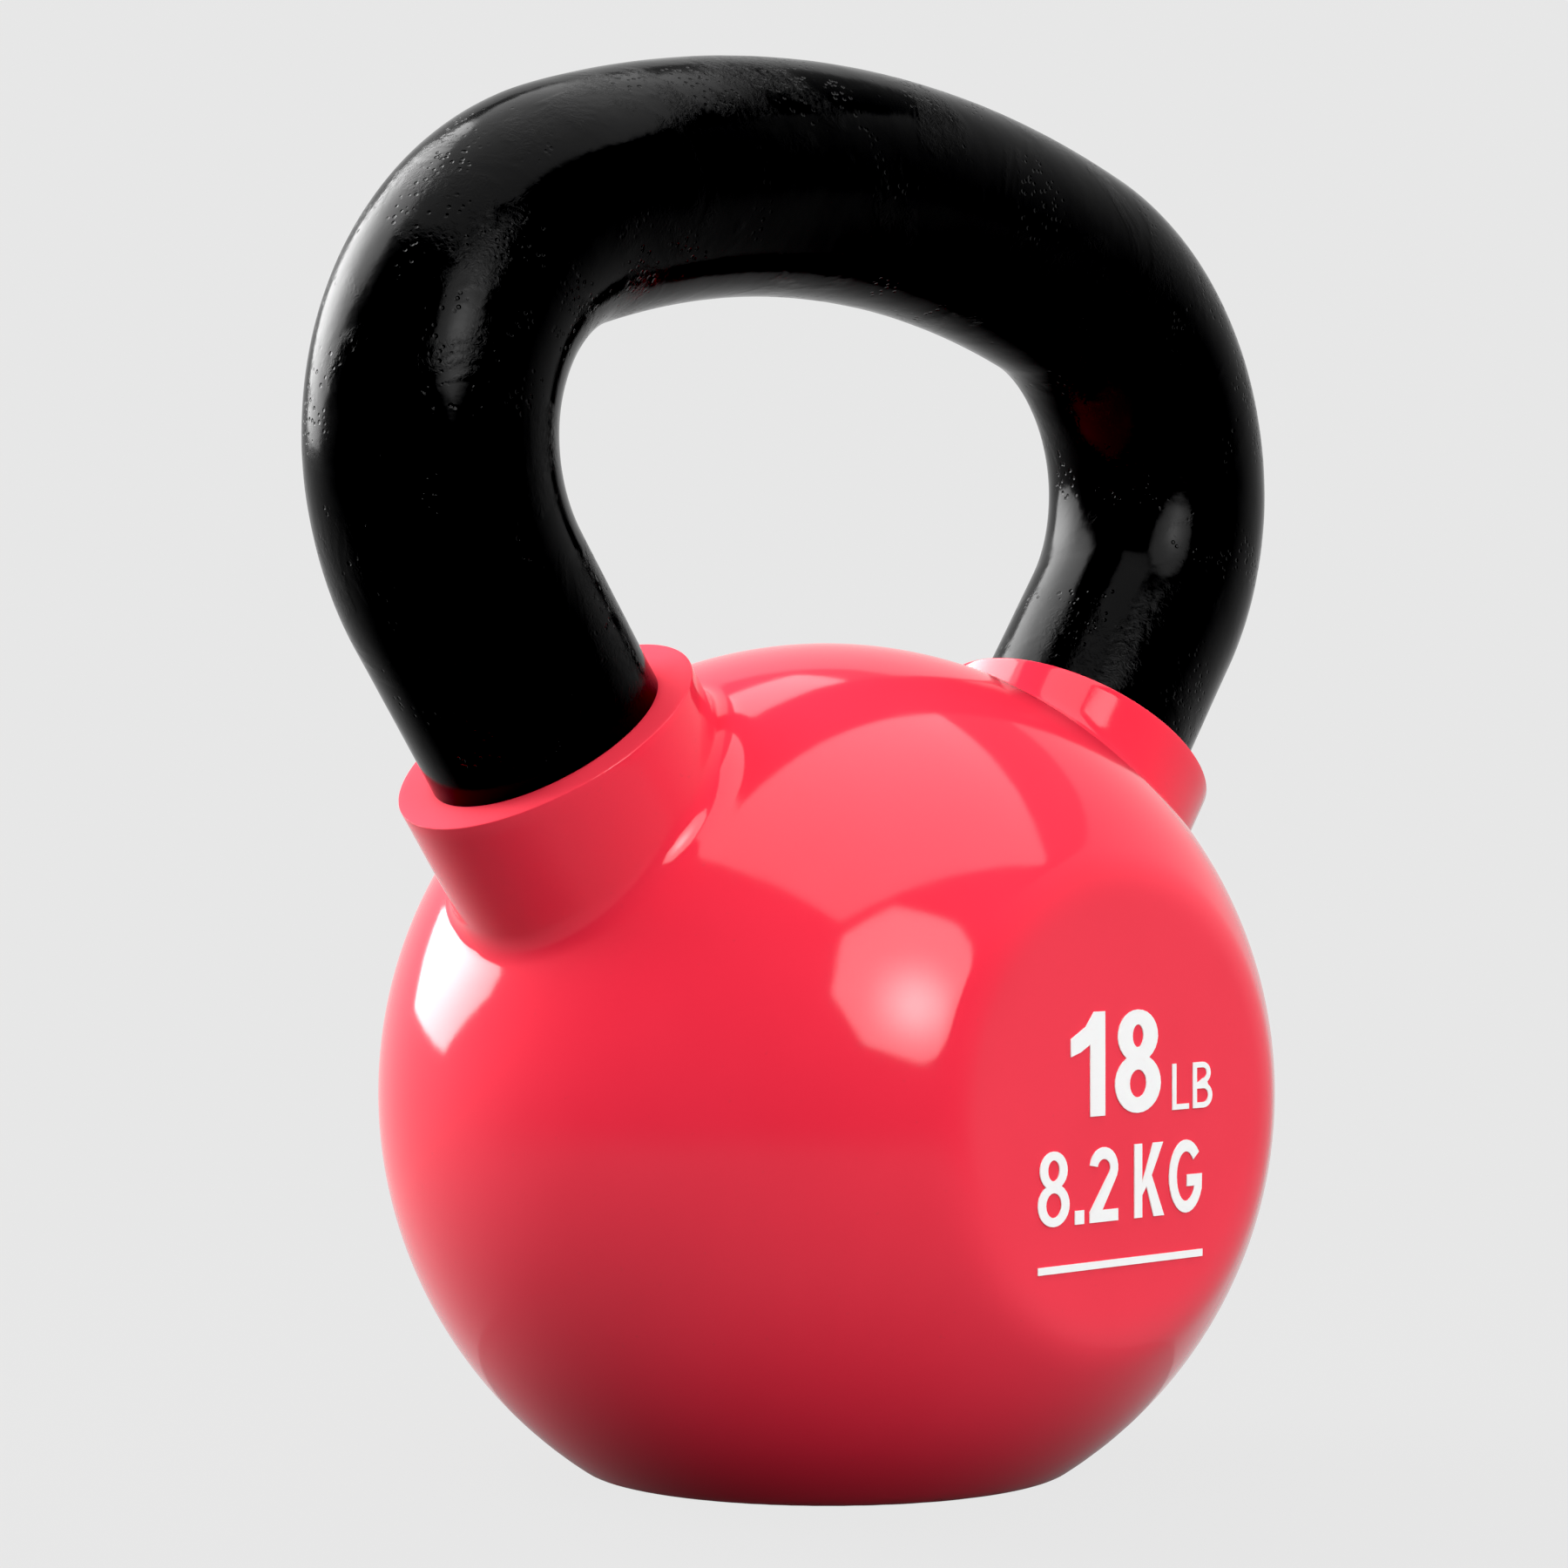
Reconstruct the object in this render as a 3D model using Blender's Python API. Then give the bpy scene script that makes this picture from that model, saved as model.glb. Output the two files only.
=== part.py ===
"""Vinyl-dipped cast-iron kettlebell, standing on its flat base.

Frame: metres, +Z up, origin at the middle of the resting face. The handle lies in the XZ plane
and the printed flat faces -Y. The iron core, the enamel on the handle, the dipped vinyl jacket
and each printed mark are separate closed solids.
"""

import math

import bmesh
import bpy
from mathutils import Vector
from mathutils.geometry import tessellate_polygon

MM = 0.001

# Driving dimensions: the ball
BALL_R = 64.4 * MM              # outside of the vinyl
BALL_CENTRE_Z = 54.4 * MM       # above the resting face
FLAT_Y = 55.8 * MM              # front and back flats, from the middle
FLAT_EDGE_R = 11.0 * MM         # round between a flat and the ball
BASE_EDGE_R = 4.0 * MM          # round between the base and the ball
JACKET_WALL = 4.7 * MM          # thickness of the dipped vinyl

# Driving dimensions: the handle, as heights above the ball's centre
HANDLE_R = 17.0 * MM            # outside of the enamel
HORN_FOOT_X = 64.0 * MM         # where a horn's axis passes, HORN_FOOT_UP above the centre
HORN_FOOT_UP = 64.4 * MM
HORN_LEAN = math.radians(35.3)  # outward from vertical
STRAIGHT_TOP_UP = 69.7 * MM     # the straight of a horn ends here
CORNER_R = 34.8 * MM            # centreline radius of the shoulder bend
TOP_HALF_ANGLE = math.radians(18.5)  # half the angle that the crowned top bar spans
ENAMEL_FILM = 0.4 * MM          # drawn thicker than a real coat, so that it is a solid

# Driving dimensions: the cuffs that the vinyl leaves round the horns
CUFF_R = 22.0 * MM
CUFF_TOP = -16.9 * MM           # along the horn's axis, from its foot point
CUFF_FILLET_R = 5.0 * MM
ENAMEL_UNDER_CUFF = 8.0 * MM    # how far the enamel runs down inside a cuff

# Driving dimensions: the printed marks
INK_DEPTH = 0.15 * MM
WEIGHT_HEIGHT = 14.0 * MM       # the large weight figures
UNIT_HEIGHT = 6.3 * MM          # their unit
METRIC_HEIGHT = 10.0 * MM       # the weight in kilograms
WEIGHT_BASE_UP = -0.6 * MM      # baselines and the rule, above the ball's centre
METRIC_BASE_UP = -14.8 * MM
RULE_UP = -20.5 * MM
RULE_SIZE = (34.0 * MM, 1.0 * MM)

# Clearances
GAP = 0.3 * MM                  # between two pieces that touch in the real object
INK_GAP = 0.05 * MM             # between the ink and the flat it is printed on

# Mesh resolution
BALL_STEPS = 48
BALL_ARC_STEPS = 18
EDGE_STEPS = 3
CUFF_STEPS = 40
FILLET_STEPS = 4
TUBE_STEPS = 26
BEND_STEP = math.radians(8.5)
SHARP_ANGLE = math.radians(32.0)

CENTRE = Vector((0.0, 0.0, BALL_CENTRE_Z))


def clear_scene() -> None:
    """Remove every object, so that the script can run again."""
    for item in list(bpy.data.objects):
        bpy.data.objects.remove(item, do_unlink=True)


def make_material(name: str, colour: tuple, roughness: float, metallic: float):
    """Return a Principled material with the given colour, roughness and metallic value."""
    material = bpy.data.materials.new(name)
    material.use_nodes = True
    shader = material.node_tree.nodes["Principled BSDF"]
    shader.inputs["Base Color"].default_value = (*colour, 1.0)
    shader.inputs["Roughness"].default_value = roughness
    shader.inputs["Metallic"].default_value = metallic
    return material


def add_object(name: str, mesh):
    """Link a mesh to the scene as a named object and return the object."""
    item = bpy.data.objects.new(name, mesh)
    bpy.context.scene.collection.objects.link(item)
    return item


def dress(item, material) -> None:
    """Give an object one material and smooth shading between its sharp edges."""
    item.data.materials.clear()
    item.data.materials.append(material)
    item.data.shade_smooth()
    item.data.set_sharp_from_angle(angle=SHARP_ANGLE)


def combine(target, tool, operation: str) -> None:
    """Join a tool to the target or cut it away, then remove the tool."""
    modifier = target.modifiers.new(operation.lower(), "BOOLEAN")
    modifier.operation = operation
    modifier.solver = "EXACT"
    modifier.object = tool
    bpy.context.view_layer.update()
    depsgraph = bpy.context.evaluated_depsgraph_get()
    result = bpy.data.meshes.new_from_object(target.evaluated_get(depsgraph))
    target.modifiers.clear()
    target.data = result
    bpy.data.objects.remove(tool, do_unlink=True)


def ring_mesh(name: str, rings: list, closed: bool = False):
    """Skin a stack of rings of equal length, with a flat cap at each end or closed on itself."""
    shape = bmesh.new()
    rows = [[shape.verts.new(point) for point in ring] for ring in rings]
    pairs = list(zip(rows, rows[1:]))
    if closed:
        pairs.append((rows[-1], rows[0]))
    for lower, upper in pairs:
        for index in range(len(lower)):
            after = (index + 1) % len(lower)
            shape.faces.new((lower[index], lower[after], upper[after], upper[index]))
    if not closed:
        shape.faces.new(list(reversed(rows[0])))
        shape.faces.new(rows[-1])
    bmesh.ops.recalc_face_normals(shape, faces=shape.faces)
    mesh = bpy.data.meshes.new(name)
    shape.to_mesh(mesh)
    shape.free()
    return mesh


def ball_profile(inset: float) -> list:
    """Return (y, radius) points of the ball turned about Y, shrunk by inset: flat, round, arc."""
    ball_r = BALL_R - inset
    flat_y = FLAT_Y - inset
    edge_y = flat_y - FLAT_EDGE_R
    edge_radius = math.sqrt((ball_r - FLAT_EDGE_R) ** 2 - edge_y ** 2)
    meet = math.atan2(edge_radius, edge_y)
    front = []
    for step in range(EDGE_STEPS + 1):
        angle = meet * step / EDGE_STEPS
        point = (-edge_y - FLAT_EDGE_R * math.cos(angle), edge_radius + FLAT_EDGE_R * math.sin(angle))
        front.append(point)
    arc = []
    for step in range(1, BALL_ARC_STEPS):
        angle = meet + (math.pi - 2.0 * meet) * step / BALL_ARC_STEPS
        arc.append((-ball_r * math.cos(angle), ball_r * math.sin(angle)))
    back = [(-y, radius) for y, radius in reversed(front)]
    return front + arc + back


def turned_ring(radius: float, height: float) -> list:
    """Return a level ring round the Z axis."""
    ring = []
    for step in range(BALL_STEPS):
        angle = 2.0 * math.pi * step / BALL_STEPS
        ring.append(Vector((radius * math.cos(angle), radius * math.sin(angle), height)))
    return ring


def foot_cup(inset: float):
    """Return a cup whose flat bottom and round edge the ball's foot keeps, and wide walls."""
    ball_r = BALL_R - inset
    edge_down = BALL_CENTRE_Z - inset - BASE_EDGE_R
    flat_radius = math.sqrt((ball_r - BASE_EDGE_R) ** 2 - edge_down ** 2)
    meet = math.atan2(flat_radius, edge_down)
    rings = []
    for step in range(EDGE_STEPS + 1):
        angle = meet * step / EDGE_STEPS
        radius = flat_radius + BASE_EDGE_R * math.sin(angle)
        rings.append(turned_ring(radius, inset + BASE_EDGE_R * (1.0 - math.cos(angle))))
    rim_radius = flat_radius + BASE_EDGE_R * math.sin(meet) + BALL_R * math.cos(meet)
    rim_height = inset + BASE_EDGE_R * (1.0 - math.cos(meet)) + BALL_R * math.sin(meet)
    rings.append(turned_ring(rim_radius, rim_height))
    rings.append(turned_ring(rim_radius, 3.0 * BALL_R))
    return add_object("foot_cup", ring_mesh("foot_cup", rings))


def ball_solid(name: str, inset: float):
    """Return the ball with its two flats and its base, every face moved inward by inset."""
    rings = []
    for y, radius in ball_profile(inset):
        ring = []
        for step in range(BALL_STEPS):
            angle = 2.0 * math.pi * (step + 0.5) / BALL_STEPS
            ring.append(CENTRE + Vector((radius * math.sin(angle), y, radius * math.cos(angle))))
        rings.append(ring)
    ball = add_object(name, ring_mesh(name, rings))
    combine(ball, foot_cup(inset), "INTERSECT")
    return ball


def horn_frame(side: int) -> tuple:
    """Return a horn's foot point, its axis upward and outward, and two directions across it."""
    foot = CENTRE + Vector((side * HORN_FOOT_X, 0.0, HORN_FOOT_UP))
    axis = Vector((side * math.sin(HORN_LEAN), 0.0, math.cos(HORN_LEAN)))
    inward = Vector((-side * math.cos(HORN_LEAN), 0.0, math.sin(HORN_LEAN)))
    return foot, axis, inward, axis.cross(inward)


def horn_ring(side: int, radius: float, along: float, steps: int) -> list:
    """Return a ring round a horn's axis at the distance along from its foot point."""
    foot, axis, inward, across = horn_frame(side)
    ring = []
    for step in range(steps):
        angle = 2.0 * math.pi * step / steps
        spoke = inward * math.cos(angle) + across * math.sin(angle)
        ring.append(foot + axis * along + spoke * radius)
    return ring


def horn_cylinder(name: str, side: int, radius: float, low: float, high: float, steps: int):
    """Return a plain cylinder round a horn's axis between two distances from its foot point."""
    rings = [horn_ring(side, radius, low, steps), horn_ring(side, radius, high, steps)]
    return add_object(name, ring_mesh(name, rings))


def cuff_column(side: int, angle: float) -> list:
    """Return one column of a cuff's skin: top edge, fillet to the ball, and a tuck under it."""
    foot, axis, inward, across = horn_frame(side)
    spoke = inward * math.cos(angle) + across * math.sin(angle)
    to_centre = CENTRE - foot
    centre_out = to_centre.dot(spoke)
    centre_along = to_centre.dot(axis)
    off_plane = to_centre.dot(axis.cross(spoke))
    section_r = math.sqrt(BALL_R ** 2 - off_plane ** 2)
    fillet_out = CUFF_R + CUFF_FILLET_R
    rise = math.sqrt((section_r + CUFF_FILLET_R) ** 2 - (fillet_out - centre_out) ** 2)
    fillet_along = centre_along + rise
    meet = math.atan2(rise, fillet_out - centre_out)
    column = [(CUFF_R, CUFF_TOP)]
    for step in range(FILLET_STEPS + 1):
        turn = math.pi + meet * step / FILLET_STEPS
        column.append((fillet_out + CUFF_FILLET_R * math.cos(turn),
                       fillet_along + CUFF_FILLET_R * math.sin(turn)))
    tuck = 4.0 * MM
    last_out, last_along = column[-1]
    column.append((last_out - tuck * math.cos(meet), last_along - tuck * math.sin(meet)))
    return [foot + spoke * out + axis * along for out, along in column]


def cuff_solid(name: str, side: int):
    """Return a cuff as a solid that reaches into the ball, so that a union joins the two."""
    columns = [cuff_column(side, 2.0 * math.pi * step / CUFF_STEPS) for step in range(CUFF_STEPS)]
    rings = [list(ring) for ring in zip(*columns)]
    root = horn_ring(side, CUFF_R, CUFF_TOP - 2.0 * CUFF_R, CUFF_STEPS)
    return add_object(name, ring_mesh(name, rings + [root]))


def half_handle_path() -> list:
    """Return (x, height) points of the right half of the handle's centreline, from the foot up."""
    foot, axis, inward, _ = horn_frame(1)
    straight_end = foot + axis * ((STRAIGHT_TOP_UP - HORN_FOOT_UP) / axis.z)
    bend_centre = straight_end + inward * CORNER_R
    turn = math.pi / 2.0 + HORN_LEAN - TOP_HALF_ANGLE
    steps = math.ceil(turn / BEND_STEP)
    path = []
    for step in range(steps + 1):
        angle = -HORN_LEAN + turn * step / steps
        path.append((bend_centre.x + CORNER_R * math.cos(angle),
                     bend_centre.z + CORNER_R * math.sin(angle)))
    end_x, end_z = path[-1]
    top_r = end_x / math.sin(TOP_HALF_ANGLE)
    top_centre_z = end_z - top_r * math.cos(TOP_HALF_ANGLE)
    steps = math.ceil(TOP_HALF_ANGLE / BEND_STEP) + 1
    for step in range(1, steps + 1):
        angle = TOP_HALF_ANGLE * (1.0 - step / steps)
        path.append((top_r * math.sin(angle), top_centre_z + top_r * math.cos(angle)))
    return path


def handle_path(start_along: float) -> list:
    """Return the whole centreline, right foot to left, starting that far along each horn."""
    foot, axis, _, _ = horn_frame(1)
    start = foot + axis * start_along
    half = [(start.x, start.z)] + half_handle_path()
    other = [(-x, z) for x, z in reversed(half[:-1])]
    return [Vector((x, 0.0, z)) for x, z in half + other]


def tube_rings(path: list, radius: float) -> list:
    """Return one ring square to the path at each of its points."""
    rings = []
    for index, point in enumerate(path):
        ahead = path[min(index + 1, len(path) - 1)]
        behind = path[max(index - 1, 0)]
        travel = (ahead - behind).normalized()
        if index in (0, 1):
            travel = (path[1] - path[0]).normalized()
        if index in (len(path) - 2, len(path) - 1):
            travel = (path[-1] - path[-2]).normalized()
        side = Vector((0.0, 1.0, 0.0))
        outward = side.cross(travel)
        ring = []
        for step in range(TUBE_STEPS):
            angle = 2.0 * math.pi * step / TUBE_STEPS
            ring.append(point + (outward * math.cos(angle) + side * math.sin(angle)) * radius)
        rings.append(ring)
    return rings


def build_casting() -> None:
    """Make the iron: ball, horns and handle, one casting."""
    casting = ball_solid("iron_casting", JACKET_WALL + GAP)
    enamel_end = CUFF_TOP - ENAMEL_UNDER_CUFF
    root = CUFF_TOP - 2.0 * CUFF_R
    bar_rings = tube_rings(handle_path(root), HANDLE_R - ENAMEL_FILM - GAP)
    combine(casting, add_object("bar", ring_mesh("bar", bar_rings)), "UNION")
    for side in (1, -1):
        stub = horn_cylinder("stub", side, HANDLE_R, root - GAP, enamel_end - GAP, CUFF_STEPS)
        combine(casting, stub, "UNION")
    dress(casting, make_material("cast_iron", (0.10, 0.10, 0.105), 0.6, 0.8))


def build_enamel() -> None:
    """Make the black enamel on the bare part of the handle, a thin sleeve open at both ends."""
    path = handle_path(CUFF_TOP - ENAMEL_UNDER_CUFF)
    outside = tube_rings(path, HANDLE_R)
    inside = tube_rings(path, HANDLE_R - ENAMEL_FILM)
    mesh = ring_mesh("handle_enamel", outside + list(reversed(inside)), closed=True)
    enamel = add_object("handle_enamel", mesh)
    dress(enamel, make_material("black_enamel", (0.012, 0.012, 0.013), 0.12, 0.0))


def build_jacket() -> None:
    """Make the dipped vinyl: ball, base and two cuffs, one shell open where the horns leave it."""
    jacket = ball_solid("vinyl_jacket", 0.0)
    for side in (1, -1):
        combine(jacket, cuff_solid("cuff", side), "UNION")
    combine(jacket, ball_solid("cavity", JACKET_WALL), "DIFFERENCE")
    for side in (1, -1):
        low = CUFF_TOP - 2.0 * CUFF_R
        bore = horn_cylinder("bore", side, HANDLE_R + GAP, low, CUFF_TOP + CUFF_R, CUFF_STEPS)
        combine(jacket, bore, "DIFFERENCE")
    dress(jacket, make_material("red_vinyl", (0.80, 0.025, 0.06), 0.3, 0.0))


def oval(middle: tuple, size: tuple, start: float = 0.0, end: float = 360.0, steps: int = 20) -> list:
    """Return points on an upright ellipse between two angles in degrees."""
    points = []
    whole = abs(end - start) >= 360.0
    for step in range(steps if whole else steps + 1):
        angle = math.radians(start + (end - start) * step / steps)
        points.append((middle[0] + size[0] * math.cos(angle), middle[1] + size[1] * math.sin(angle)))
    return points


def figure_one(weight: float) -> list:
    """Return the outline of a 1, of unit height, with the given stroke width."""
    stem = 0.46 - weight
    return [[(stem, 0.0), (0.46, 0.0), (0.46, 1.0), (stem + 0.05, 1.0), (stem - 0.06, 0.86),
             (0.0, 0.75), (0.0, 0.75 - 0.85 * weight), (0.13, 0.62), (stem, 0.69)]]


def figure_two(weight: float) -> list:
    """Return the outline of a 2, of unit height, with the given stroke width."""
    outer = oval((0.29, 0.72), (0.29, 0.28), 170.0, -38.0, 14)
    inner = oval((0.29, 0.72), (0.29 - weight, 0.28 - weight), -38.0, 170.0, 14)
    foot = [(1.6 * weight, weight), (0.58, weight), (0.58, 0.0), (0.0, 0.0), (0.0, 0.9 * weight)]
    return [inner + outer + foot]


def figure_eight(weight: float) -> list:
    """Return the outline of an 8, of unit height: two stacked bowls and their two holes."""
    low_middle = (0.315, 0.285)
    high_middle = (0.315, 0.745)
    outline = oval(low_middle, (0.315, 0.285), 119.2, 420.8, 24)
    outline += oval(high_middle, (0.275, 0.255), -55.9, 235.9, 22)
    low_hole = oval(low_middle, (0.315 - weight, 0.285 - 0.75 * weight), steps=20)
    high_hole = oval(high_middle, (0.275 - weight, 0.255 - 0.72 * weight), steps=20)
    return [outline, low_hole, high_hole]


def letter_l(weight: float) -> list:
    """Return the outline of an L of unit height."""
    return [[(0.0, 0.0), (0.50, 0.0), (0.50, weight), (weight, weight), (weight, 1.0), (0.0, 1.0)]]


def letter_b(weight: float) -> list:
    """Return the outline of a B of unit height and its two holes."""
    low = oval((0.32, 0.27), (0.27, 0.27), -90.0, 60.0, 10)
    high = oval((0.30, 0.76), (0.24, 0.24), -55.0, 90.0, 10)
    outline = [(0.0, 0.0)] + low + high + [(0.0, 1.0)]
    low_hole = [(weight, weight), *oval((0.32, 0.27), (0.27 - weight, 0.27 - weight), -90.0, 90.0, 10),
                (weight, 0.54 - weight)]
    high_hole = [(weight, 0.54), *oval((0.30, 0.76), (0.24 - weight, 0.24 - weight), -90.0, 90.0, 10),
                 (weight, 1.0 - weight)]
    return [outline, low_hole, high_hole]


def letter_k(weight: float) -> list:
    """Return the outline of a K of unit height."""
    return [[(0.0, 0.0), (weight, 0.0), (weight, 0.30), (weight + 0.09, 0.42), (0.60 - weight * 1.25, 0.0),
             (0.62, 0.0), (weight + 0.20, 0.56), (0.60, 1.0), (0.60 - weight * 1.3, 1.0),
             (weight, 0.46), (weight, 1.0), (0.0, 1.0)]]


def letter_g(weight: float) -> list:
    """Return the outline of a G of unit height."""
    outer = oval((0.36, 0.5), (0.36, 0.5), 40.0, 338.0, 26)
    inner = oval((0.36, 0.5), (0.36 - weight, 0.5 - weight), 322.0, 40.0, 24)
    bar = [(0.70, 0.52), (0.38, 0.52), (0.38, 0.52 - weight), (0.70 - weight, 0.52 - weight)]
    return [outer + bar + inner]


def point_mark(weight: float) -> list:
    """Return the outline of a square decimal point."""
    return [[(0.0, 0.0), (weight * 1.15, 0.0), (weight * 1.15, weight * 1.15), (0.0, weight * 1.15)]]


def ink_solid(name: str, loops: list, corner: tuple, scale: tuple, material) -> None:
    """Print one mark on the front flat: outlines in unit heights, grown to size at its corner."""
    placed = []
    for loop in loops:
        placed.append([Vector((corner[0] + x * scale[0], corner[1] + z * scale[1], 0.0)) for x, z in loop])
    flat = [point for loop in placed for point in loop]
    triangles = tessellate_polygon(placed)
    back_y = -FLAT_Y - INK_GAP
    shape = bmesh.new()
    back = [shape.verts.new((point.x, back_y, BALL_CENTRE_Z + point.y)) for point in flat]
    front = [shape.verts.new((point.x, back_y - INK_DEPTH, BALL_CENTRE_Z + point.y)) for point in flat]
    for triangle in triangles:
        shape.faces.new([back[index] for index in triangle])
        shape.faces.new([front[index] for index in reversed(triangle)])
    first = 0
    for loop in placed:
        count = len(loop)
        for index in range(count):
            here = first + index
            after = first + (index + 1) % count
            shape.faces.new((back[here], back[after], front[after], front[here]))
        first += count
    bmesh.ops.recalc_face_normals(shape, faces=shape.faces)
    mesh = bpy.data.meshes.new(name)
    shape.to_mesh(mesh)
    shape.free()
    dress(add_object(name, mesh), material)


def build_marks() -> None:
    """Print the weight in pounds, the same in kilograms, and a plain rule under them."""
    white = make_material("white_ink", (0.90, 0.90, 0.90), 0.45, 0.0)
    bold = 0.20
    plain = 0.16
    thin = 0.12
    large = (1.08 * WEIGHT_HEIGHT, WEIGHT_HEIGHT)
    unit = (1.12 * UNIT_HEIGHT, UNIT_HEIGHT)
    metric = (METRIC_HEIGHT, METRIC_HEIGHT)
    marks = (
        ("ink_weight_1", figure_one(bold), -10.4 * MM, WEIGHT_BASE_UP, large),
        ("ink_weight_8", figure_eight(bold), -1.4 * MM, WEIGHT_BASE_UP, large),
        ("ink_unit_l", letter_l(thin), 10.6 * MM, WEIGHT_BASE_UP, unit),
        ("ink_unit_b", letter_b(thin), 15.0 * MM, WEIGHT_BASE_UP, unit),
        ("ink_metric_8", figure_eight(plain), -17.0 * MM, METRIC_BASE_UP, metric),
        ("ink_metric_point", point_mark(plain), -9.6 * MM, METRIC_BASE_UP, metric),
        ("ink_metric_2", figure_two(plain), -6.6 * MM, METRIC_BASE_UP, metric),
        ("ink_metric_k", letter_k(plain), 2.6 * MM, METRIC_BASE_UP, metric),
        ("ink_metric_g", letter_g(plain), 9.9 * MM, METRIC_BASE_UP, metric),
    )
    for name, loops, left, base, scale in marks:
        ink_solid(name, loops, (left, base), scale, white)
    rule = [[(-0.5, -0.5), (0.5, -0.5), (0.5, 0.5), (-0.5, 0.5)]]
    ink_solid("ink_rule", rule, (0.0, RULE_UP), RULE_SIZE, white)


def main() -> None:
    """Build every piece in its place."""
    clear_scene()
    build_casting()
    build_enamel()
    build_jacket()
    build_marks()


main()
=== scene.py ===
"""Looks of a vinyl-dipped cast-iron kettlebell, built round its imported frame.

The jacket and the enamelled handle are remade as fine meshes in the places that the frame gives
them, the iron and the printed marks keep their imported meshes, and each finish is procedural.
"""

import logging
import math
from dataclasses import dataclass, field
from enum import Enum

import bpy
import numpy as np
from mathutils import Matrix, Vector, noise


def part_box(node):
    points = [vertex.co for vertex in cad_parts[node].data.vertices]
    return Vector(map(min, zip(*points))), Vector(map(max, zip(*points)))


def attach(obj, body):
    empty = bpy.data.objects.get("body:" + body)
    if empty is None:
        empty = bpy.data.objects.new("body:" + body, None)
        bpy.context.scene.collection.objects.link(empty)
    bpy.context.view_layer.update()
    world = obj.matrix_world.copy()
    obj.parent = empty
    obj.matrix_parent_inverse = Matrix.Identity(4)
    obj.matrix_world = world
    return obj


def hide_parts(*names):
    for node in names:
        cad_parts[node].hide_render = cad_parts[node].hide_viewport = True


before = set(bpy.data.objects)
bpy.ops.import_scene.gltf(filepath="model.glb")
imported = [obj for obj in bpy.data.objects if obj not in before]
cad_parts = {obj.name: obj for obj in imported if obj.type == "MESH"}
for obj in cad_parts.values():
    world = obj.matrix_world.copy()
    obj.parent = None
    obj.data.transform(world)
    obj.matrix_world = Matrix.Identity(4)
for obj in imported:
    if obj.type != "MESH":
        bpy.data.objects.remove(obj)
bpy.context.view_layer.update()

MM = 0.001
ROOT = "root"
SHALLOWEST = 0.1  # least cosine between a ray and a flat's normal that is divided by
Colour = tuple[float, float, float]
log = logging.getLogger("kettlebell")


class Slot(Enum):
    """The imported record's material slots of the pieces that are remade."""

    ENAMEL = "black_enamel"
    VINYL = "red_vinyl"


@dataclass(frozen=True)
class Patches:
    """Soft patches cut out of cloudy noise.

    Attributes:
        size: Width of the largest blobs, in metres.
        low: Level of the noise where a patch starts.
        high: Level where it is full.
        detail: Octaves of finer noise.
        rough: Share of the finer octaves.
        warp: How far the noise distorts itself.
    """

    size: float
    low: float
    high: float
    detail: float = 3.0
    rough: float = 0.5
    warp: float = 0.0


@dataclass(frozen=True)
class Bumps:
    """A layer of cloudy relief.

    Attributes:
        size: Width of the largest bumps, in metres.
        depth: Their depth, in metres.
        detail: Octaves of finer bumps.
        rough: Share of the finer octaves.
        warp: How far the bumps are drawn out.
    """

    size: float
    depth: float
    detail: float = 1.0
    rough: float = 0.5
    warp: float = 0.0


class Signal:
    """A number that varies over a surface: a node socket that takes arithmetic."""

    def __init__(self, sheet: "Sheet", socket: bpy.types.NodeSocket) -> None:
        """Wrap a socket.

        Args:
            sheet: The node sheet that new Math nodes go on.
            socket: The output that carries the number.
        """
        self.sheet = sheet
        self.socket = socket

    def _math(self, operation: str, first: "Signal | float", second: "Signal | float") -> "Signal":
        """Add one Math node.

        Args:
            operation: Blender's name of the operation.
            first: Left operand.
            second: Right operand.

        Returns:
            The result as a signal.
        """
        node = self.sheet.node("ShaderNodeMath", {"operation": operation}, {0: first, 1: second})
        return Signal(self.sheet, node.outputs[0])

    def __add__(self, other: "Signal | float") -> "Signal":
        """Return self + other."""
        return self._math("ADD", self, other)

    def __radd__(self, other: float) -> "Signal":
        """Return other + self."""
        return self._math("ADD", other, self)

    def __sub__(self, other: "Signal | float") -> "Signal":
        """Return self - other."""
        return self._math("SUBTRACT", self, other)

    def __rsub__(self, other: float) -> "Signal":
        """Return other - self."""
        return self._math("SUBTRACT", other, self)

    def __mul__(self, other: "Signal | float") -> "Signal":
        """Return self * other."""
        return self._math("MULTIPLY", self, other)

    def __rmul__(self, other: float) -> "Signal":
        """Return other * self."""
        return self._math("MULTIPLY", other, self)

    def __pow__(self, other: float) -> "Signal":
        """Return self to the power of other."""
        return self._math("POWER", self, other)


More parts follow.
